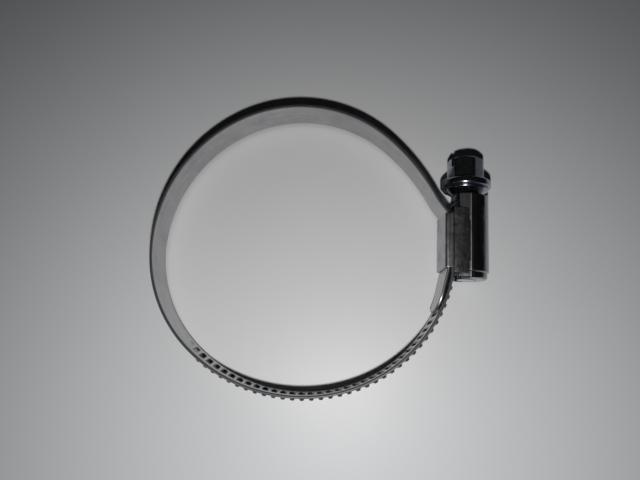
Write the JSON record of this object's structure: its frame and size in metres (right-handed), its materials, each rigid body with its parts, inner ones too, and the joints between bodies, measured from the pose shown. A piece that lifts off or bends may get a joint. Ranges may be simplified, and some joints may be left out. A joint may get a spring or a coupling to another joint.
{
  "type": "hose clamp",
  "caption": "Worm-drive hose clamp: a steel band ring gripped by a pressed housing, closed by a slotted hex-head screw that draws the toothed band end through.",
  "frame": {"origin": "middle of the clamp's bounding box, at its lowest level", "axes": "+Z is the ring's axis, +X runs from the ring to the housing, +Y runs along the screw towards its head"},
  "size_m": [0.073, 0.0634, 0.0108],
  "materials": {
    "band_steel": "rolled bright zinc-plated steel strip with fine lengthwise grain and handling smudges",
    "housing_steel": "pressed and zinc-plated steel sheet, glossy on the barrel and rough on the worked flanks",
    "screw_zinc": "bright bluish zinc plating"
  },
  "bodies": {
    "housing": {"housing_shell": "housing_steel", "band_anchor": "band_steel"},
    "screw": {"worm_screw": "screw_zinc"},
    "tongue": {"band_tongue": "band_steel"},
    "link_1": {"band_link_01": "band_steel"},
    "link_2": {"band_link_02": "band_steel"},
    "link_3": {"band_link_03": "band_steel"},
    "link_4": {"band_link_04": "band_steel"},
    "link_5": {"band_link_05": "band_steel"},
    "link_6": {"band_link_06": "band_steel"},
    "link_7": {"band_link_07": "band_steel"},
    "link_8": {"band_link_08": "band_steel"},
    "free_end": {"band_free_end": "band_steel"}
  },
  "joints": [
    {"name": "screw_turn", "type": "hinge", "parent": "housing", "child": "screw", "pos_m": [0.0311, 0, 0.0054], "axis": [0, -1, 0], "range_deg": [-360, 720]},
    {"name": "neck_flex", "type": "hinge", "parent": "housing", "child": "link_1", "pos_m": [0.02521, 0.01024, 0.0054], "axis": [0, 0, 1], "range_deg": [-1.9, 0.98]},
    {"name": "ring_flex_1", "type": "hinge", "parent": "link_1", "child": "link_2", "pos_m": [0.01103, 0.02657, 0.0054], "axis": [0, 0, 1], "range_deg": [-0.29, 0.53]},
    {"name": "ring_flex_2", "type": "hinge", "parent": "link_2", "child": "link_3", "pos_m": [-0.0126, 0.03046, 0.0054], "axis": [0, 0, 1], "range_deg": [-0.78, 1.5]},
    {"name": "ring_flex_3", "type": "hinge", "parent": "link_3", "child": "link_4", "pos_m": [-0.03172, 0.01563, 0.0054], "axis": [0, 0, 1], "range_deg": [-0.74, 1.43]},
    {"name": "ring_flex_4", "type": "hinge", "parent": "link_4", "child": "link_5", "pos_m": [-0.03512, -0.00838, 0.0054], "axis": [0, 0, 1], "range_deg": [-0.37, 0.69]},
    {"name": "ring_flex_5", "type": "hinge", "parent": "link_5", "child": "link_6", "pos_m": [-0.02013, -0.02669, 0.0054], "axis": [0, 0, 1], "range_deg": [-0.19, 0.34]},
    {"name": "ring_flex_6", "type": "hinge", "parent": "link_6", "child": "link_7", "pos_m": [0.00406, -0.02987, 0.0054], "axis": [0, 0, 1], "range_deg": [-0.39, 0.74]},
    {"name": "lower_flex", "type": "hinge", "parent": "link_7", "child": "link_8", "pos_m": [0.02604, -0.01018, 0.0054], "axis": [0, 0, 1], "range_deg": [-3.44, 6.83]},
    {"name": "mouth_flex", "type": "hinge", "parent": "link_8", "child": "free_end", "pos_m": [0.02752, -0.00462, 0.0054], "axis": [0, 0, 1], "range_deg": [-9.9, 4.97]},
    {"name": "tongue_flex", "type": "hinge", "parent": "housing", "child": "tongue", "pos_m": [0.02672, -0.00345, 0.0054], "axis": [0, 0, 1], "range_deg": [-4.05, 2.05]}
  ],
  "couplings": [
    {"joint": "neck_flex", "follows": "screw_turn", "ratio": -0.0025751},
    {"joint": "ring_flex_1", "follows": "screw_turn", "ratio": 0.0006599},
    {"joint": "ring_flex_2", "follows": "screw_turn", "ratio": 0.0020196},
    {"joint": "ring_flex_3", "follows": "screw_turn", "ratio": 0.0019179},
    {"joint": "ring_flex_4", "follows": "screw_turn", "ratio": 0.0008855},
    {"joint": "ring_flex_5", "follows": "screw_turn", "ratio": 0.0004025},
    {"joint": "ring_flex_6", "follows": "screw_turn", "ratio": 0.0009581},
    {"joint": "lower_flex", "follows": "screw_turn", "ratio": 0.00941},
    {"joint": "mouth_flex", "follows": "screw_turn", "ratio": -0.013678},
    {"joint": "tongue_flex", "follows": "screw_turn", "ratio": -0.0055556}
  ]
}
